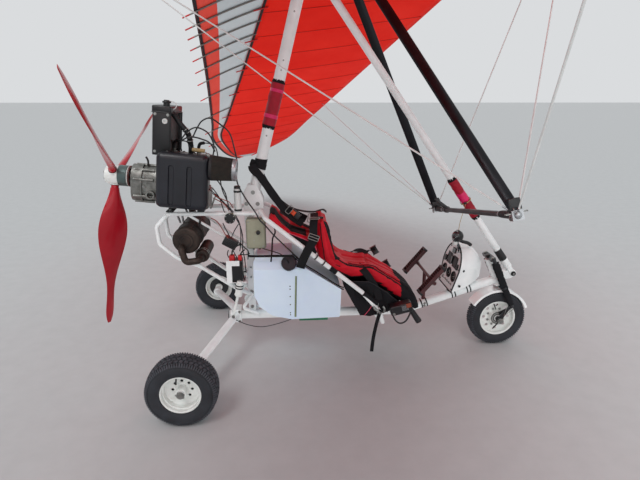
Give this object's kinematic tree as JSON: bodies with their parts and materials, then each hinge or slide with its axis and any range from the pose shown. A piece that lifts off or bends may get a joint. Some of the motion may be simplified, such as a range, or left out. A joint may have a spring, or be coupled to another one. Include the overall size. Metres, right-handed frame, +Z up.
{
  "type": "microlight aircraft",
  "caption": "Two-seat weight-shift microlight: open trike with tandem seats, pusher propeller and tall radiator, hung on one bolt under a swept fabric wing.",
  "frame": {"origin": "on the ground, under the middle of the rear axle, in the chassis' centre plane", "axes": "+X forward, +Y to port, +Z up; the row stands on its three wheels"},
  "size_m": [3.1895, 10.7439, 3.8405],
  "materials": {
    "main_beam": "white powder coat",
    "steering_head": "white powder coat",
    "mast": "white powder coat",
    "mast_head": "machined, anodised",
    "front_strut": "white powder coat",
    "tube_pads": "woven cover over foam",
    "rear_column": "white powder coat",
    "engine_frame": "white powder coat",
    "gearbox": "as cast",
    "engine_block": "as cast",
    "engine_mounts": "moulded rubber and steel",
    "intake_silencer": "moulded, fine grain",
    "air_filter": "pleated gauze",
    "radiator": "black coated core",
    "exhaust": "heat-stained steel",
    "battery": "moulded case",
    "electrics_boxes": "grey-green paint on the largest box, black on the small ones",
    "coolant_canister": "moulded bottle",
    "axle_legs": "white powder coat on a faired extrusion",
    "shock_absorbers": "painted and black rubber",
    "rear_braces": "white powder coat",
    "tyre_left": "moulded rubber",
    "tyre_right": "moulded rubber",
    "rim_left": "painted white",
    "rim_right": "painted white",
    "front_tyre": "moulded rubber",
    "front_rim": "painted white",
    "fork": "white powder coat",
    "front_mudguard": "gloss moulding",
    "fuel_tank": "natural translucent moulding",
    "tank_bearers": "rubber blocks",
    "tank_cap": "moulded, ribbed",
    "seat_tubes": "white powder coat",
    "rear_seat": "coated cloth over foam",
    "front_seat": "coated cloth over foam",
    "seat_sling": "woven cloth",
    "harness": "woven webbing",
    "foot_rests": "painted dark red",
    "hand_throttle": "moulded",
    "instrument_pod": "gel-coated shell",
    "compass": "clear dome over a dark bowl",
    "propeller_blades": "gloss lacquer over composite",
    "propeller_hub": "anodised",
    "keel": "anodised",
    "hang_block": "machined, anodised",
    "uprights": "black anodised",
    "base_bar": "black anodised with rubber grips",
    "wing_fittings": "machined, anodised",
    "kingpost": "anodised",
    "sail_port": "woven sailcloth, red below and pale above",
    "sail_starboard": "woven sailcloth, red below and pale above",
    "keel_pocket": "woven sailcloth",
    "lower_wires": "stranded wire, white sleeve",
    "upper_wires": "stranded wire, white sleeve"
  },
  "bodies": {
    "frame": {"main_beam": "main_beam", "steering_head": "steering_head", "mast": "mast", "mast_head": "mast_head", "front_strut": "front_strut", "tube_pads": "tube_pads", "rear_column": "rear_column", "engine_frame": "engine_frame", "gearbox": "gearbox", "engine_block": "engine_block", "engine_mounts": "engine_mounts", "intake_silencer": "intake_silencer", "air_filter": "air_filter", "radiator": "radiator", "exhaust": "exhaust", "battery": "battery", "electrics_boxes": "electrics_boxes", "coolant_canister": "coolant_canister", "axle_legs": "axle_legs", "shock_absorbers": "shock_absorbers", "rear_braces": "rear_braces", "fuel_tank": "fuel_tank", "tank_bearers": "tank_bearers", "tank_cap": "tank_cap", "seat_tubes": "seat_tubes", "rear_seat": "rear_seat", "front_seat": "front_seat", "seat_sling": "seat_sling", "harness": "harness", "foot_rests": "foot_rests", "hand_throttle": "hand_throttle", "instrument_pod": "instrument_pod", "compass": "compass"},
    "steering": {"fork": "fork", "front_mudguard": "front_mudguard"},
    "front_wheel": {"front_tyre": "front_tyre", "front_rim": "front_rim"},
    "wheel_left": {"tyre_left": "tyre_left", "rim_left": "rim_left"},
    "wheel_right": {"tyre_right": "tyre_right", "rim_right": "rim_right"},
    "propeller": {"propeller_hub": "propeller_hub", "propeller_blades": "propeller_blades"},
    "hang_block": {"hang_block": "hang_block"},
    "wing": {"keel": "keel", "keel_pocket": "keel_pocket", "sail_port": "sail_port", "sail_starboard": "sail_starboard", "wing_fittings": "wing_fittings", "uprights": "uprights", "base_bar": "base_bar", "kingpost": "kingpost", "lower_wires": "lower_wires", "upper_wires": "upper_wires"}
  },
  "joints": [
    {"name": "steering_turn", "type": "hinge", "parent": "frame", "child": "steering", "pos_m": [2.14, 0, 0.522], "axis": [-0.4226, 0, 0.9063], "range_deg": [-30, 30]},
    {"name": "front_wheel_spin", "type": "hinge", "parent": "steering", "child": "front_wheel", "pos_m": [2.165, 0, 0.215], "axis": [0, 1, 0], "continuous": true},
    {"name": "wheel_left_spin", "type": "hinge", "parent": "frame", "child": "wheel_left", "pos_m": [0, 0.8, 0.205], "axis": [0, 1, 0], "continuous": true},
    {"name": "wheel_right_spin", "type": "hinge", "parent": "frame", "child": "wheel_right", "pos_m": [0, -0.8, 0.205], "axis": [0, 1, 0], "continuous": true},
    {"name": "propeller_spin", "type": "hinge", "parent": "frame", "child": "propeller", "pos_m": [-0.509, 0, 1.311], "axis": [0.9945, 0, -0.1045], "continuous": true},
    {"name": "wing_pitch", "type": "hinge", "parent": "frame", "child": "hang_block", "pos_m": [0.765, 0, 2.64], "axis": [0, 1, 0], "range_deg": [-1, 15]},
    {"name": "wing_roll", "type": "hinge", "parent": "hang_block", "child": "wing", "pos_m": [0.765, 0, 2.75973], "axis": [0.9791, 0, 0.2035], "range_deg": [-4.5, 27.5]}
  ]
}
